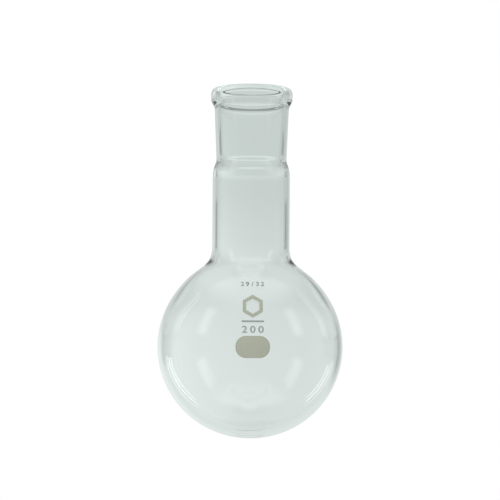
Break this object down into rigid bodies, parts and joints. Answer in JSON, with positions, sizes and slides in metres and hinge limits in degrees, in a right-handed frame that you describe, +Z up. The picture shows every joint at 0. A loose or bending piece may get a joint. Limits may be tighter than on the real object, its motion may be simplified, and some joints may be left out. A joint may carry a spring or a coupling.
{
  "type": "round bottom flask",
  "caption": "Clear glass round bottom flask with a straight neck, a beaded ground joint socket and grey enamel marks on the front of the bulb.",
  "frame": {"origin": "on the flask's axis, at the lowest point of the bulb", "axes": "+Z up along the axis, from the bulb to the mouth; the enamel marks face -Y; +X is to the right when the marks are read"},
  "size_m": [0.081, 0.0816, 0.1535],
  "materials": {
    "clear_glass": "clear borosilicate glass, fire polished, faint grey-green tint",
    "grey_enamel": "warm grey fired enamel, matt",
    "dark_enamel": "darker grey fired enamel, matt"
  },
  "bodies": {
    "root": {"bulb": "clear_glass", "shoulder": "clear_glass", "neck": "clear_glass", "joint_socket": "clear_glass", "writing_patch": "grey_enamel", "hexagon_badge": "grey_enamel", "divider_rule": "dark_enamel", "capacity_digit_1": "dark_enamel", "capacity_digit_2": "dark_enamel", "capacity_digit_3": "dark_enamel", "joint_size_digit_1": "dark_enamel", "joint_size_digit_2": "dark_enamel", "joint_size_stroke": "dark_enamel", "joint_size_digit_3": "dark_enamel", "joint_size_digit_4": "dark_enamel"}
  },
  "joints": []
}
